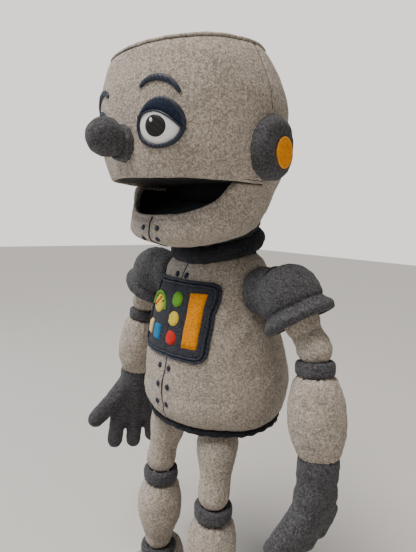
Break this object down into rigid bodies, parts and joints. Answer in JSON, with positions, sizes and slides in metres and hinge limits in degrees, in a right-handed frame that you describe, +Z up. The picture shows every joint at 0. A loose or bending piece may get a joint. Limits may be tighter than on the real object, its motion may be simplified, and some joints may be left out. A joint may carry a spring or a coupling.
{
  "type": "puppet",
  "caption": "Full-body soft robot hand puppet with a wide hinged mouth, round nose, puck ears, chest control panel and jointed padded arms and legs",
  "frame": {"origin": "on the floor, in the middle of the part's bounding box", "axes": "+Z up, the face looks along -Y, the robot's left hand is on +X"},
  "size_m": [0.3873, 0.2817, 0.7101],
  "materials": {
    "grey_fleece": "nubby short-pile fleece",
    "charcoal_fleece": "short-pile fleece",
    "navy_embroidery": "satin stitch",
    "navy_piping": "rolled cord piping",
    "black_lining": "smooth woven lining",
    "white_felt": "smooth felt",
    "black_satin": "dense satin stitch",
    "orange_fleece": "short-pile fleece",
    "green_felt": "felt",
    "yellow_felt": "felt",
    "red_felt": "felt",
    "cream_felt": "felt",
    "blue_felt": "felt",
    "foam": "open-cell foam padding"
  },
  "bodies": {
    "torso": {"torso_shell": "grey_fleece", "torso_foam": "foam", "hand_sleeve": "black_lining", "base_panel": "grey_fleece", "hem_band": "charcoal_fleece", "neck_fold_lower": "charcoal_fleece", "chest_panel": "charcoal_fleece", "panel_piping": "navy_piping", "gauge": "green_felt", "button_green": "green_felt", "button_yellow": "yellow_felt", "button_red": "red_felt", "patch_cream": "cream_felt", "patch_blue": "blue_felt", "patch_orange": "orange_fleece", "body_rivets": "navy_embroidery"},
    "neck": {"neck_fold_upper": "charcoal_fleece"},
    "head": {"head_shell": "grey_fleece", "head_foam": "foam", "head_top_panel": "grey_fleece", "mouth_roof": "black_lining", "finger_pocket": "black_lining", "nose": "charcoal_fleece", "nose_collar": "charcoal_fleece", "ear_left": "charcoal_fleece", "ear_right": "charcoal_fleece", "ear_discs": "orange_fleece", "eye_rims": "navy_embroidery", "eye_whites": "white_felt", "eyelids": "navy_embroidery", "pupils": "black_satin", "brows": "navy_embroidery"},
    "jaw": {"jaw_shell": "grey_fleece", "mouth_floor": "black_lining", "thumb_pocket": "black_lining", "chin_rivets": "navy_embroidery"},
    "shoulder_left": {"shoulder_root_left": "charcoal_fleece"},
    "upper_arm_left": {"shoulder_cap_left": "charcoal_fleece", "upper_arm_left": "grey_fleece"},
    "forearm_left": {"elbow_band_left": "charcoal_fleece", "forearm_left": "grey_fleece"},
    "hand_left": {"hand_left": "charcoal_fleece"},
    "thigh_left": {"thigh_left": "grey_fleece"},
    "shin_left": {"knee_band_left": "charcoal_fleece", "shin_left": "grey_fleece"},
    "foot_left": {"ankle_band_left": "charcoal_fleece", "foot_left": "grey_fleece", "sole_left": "charcoal_fleece"},
    "shoulder_right": {"shoulder_root_right": "charcoal_fleece"},
    "upper_arm_right": {"shoulder_cap_right": "charcoal_fleece", "upper_arm_right": "grey_fleece"},
    "forearm_right": {"elbow_band_right": "charcoal_fleece", "forearm_right": "grey_fleece"},
    "hand_right": {"hand_right": "charcoal_fleece"},
    "thigh_right": {"thigh_right": "grey_fleece"},
    "shin_right": {"knee_band_right": "charcoal_fleece", "shin_right": "grey_fleece"},
    "foot_right": {"ankle_band_right": "charcoal_fleece", "foot_right": "grey_fleece", "sole_right": "charcoal_fleece"}
  },
  "joints": [
    {"name": "head_turn", "type": "hinge", "parent": "torso", "child": "neck", "pos_m": [0, 0.039, 0.505], "axis": [0, -0.2924, 0.9563], "range_deg": [-35, 35]},
    {"name": "head_nod", "type": "hinge", "parent": "neck", "child": "head", "pos_m": [0, 0.039, 0.505], "axis": [1, 0, 0], "range_deg": [-15, 12]},
    {"name": "jaw_open", "type": "hinge", "parent": "head", "child": "jaw", "pos_m": [0, 0.026, 0.562], "axis": [1, 0, 0], "range_deg": [-21.5, 2]},
    {"name": "shoulder_swing_left", "type": "hinge", "parent": "torso", "child": "shoulder_left", "pos_m": [0.114, 0.037, 0.446], "axis": [-1, 0, 0], "range_deg": [-40, 90]},
    {"name": "arm_lift_left", "type": "hinge", "parent": "shoulder_left", "child": "upper_arm_left", "pos_m": [0.114, 0.037, 0.446], "axis": [0, -1, 0], "range_deg": [-8, 75]},
    {"name": "elbow_left", "type": "hinge", "parent": "upper_arm_left", "child": "forearm_left", "pos_m": [0.149, 0.041, 0.394], "axis": [-1, 0, 0], "range_deg": [-5, 60]},
    {"name": "wrist_left", "type": "hinge", "parent": "forearm_left", "child": "hand_left", "pos_m": [0.166, 0.037, 0.274], "axis": [-1, 0, 0], "range_deg": [-30, 30]},
    {"name": "shoulder_swing_right", "type": "hinge", "parent": "torso", "child": "shoulder_right", "pos_m": [-0.114, 0.037, 0.446], "axis": [-1, 0, 0], "range_deg": [-40, 90]},
    {"name": "arm_lift_right", "type": "hinge", "parent": "shoulder_right", "child": "upper_arm_right", "pos_m": [-0.114, 0.037, 0.446], "axis": [0, 1, 0], "range_deg": [-8, 75]},
    {"name": "elbow_right", "type": "hinge", "parent": "upper_arm_right", "child": "forearm_right", "pos_m": [-0.149, 0.041, 0.394], "axis": [-1, 0, 0], "range_deg": [-5, 60]},
    {"name": "wrist_right", "type": "hinge", "parent": "forearm_right", "child": "hand_right", "pos_m": [-0.166, 0.037, 0.274], "axis": [-1, 0, 0], "range_deg": [-30, 30]},
    {"name": "hip_left", "type": "hinge", "parent": "torso", "child": "thigh_left", "pos_m": [0.045, 0.012, 0.26], "axis": [-1, 0, 0], "range_deg": [-20, 60]},
    {"name": "knee_left", "type": "hinge", "parent": "thigh_left", "child": "shin_left", "pos_m": [0.051, 0.003, 0.195], "axis": [1, 0, 0], "range_deg": [0, 60]},
    {"name": "ankle_left", "type": "hinge", "parent": "shin_left", "child": "foot_left", "pos_m": [0.051, 0.003, 0.08], "axis": [-1, 0, 0], "range_deg": [-15, 15]},
    {"name": "hip_right", "type": "hinge", "parent": "torso", "child": "thigh_right", "pos_m": [-0.045, 0.012, 0.26], "axis": [-1, 0, 0], "range_deg": [-20, 60]},
    {"name": "knee_right", "type": "hinge", "parent": "thigh_right", "child": "shin_right", "pos_m": [-0.051, 0.003, 0.195], "axis": [1, 0, 0], "range_deg": [0, 60]},
    {"name": "ankle_right", "type": "hinge", "parent": "shin_right", "child": "foot_right", "pos_m": [-0.051, 0.003, 0.08], "axis": [-1, 0, 0], "range_deg": [-15, 15]}
  ]
}
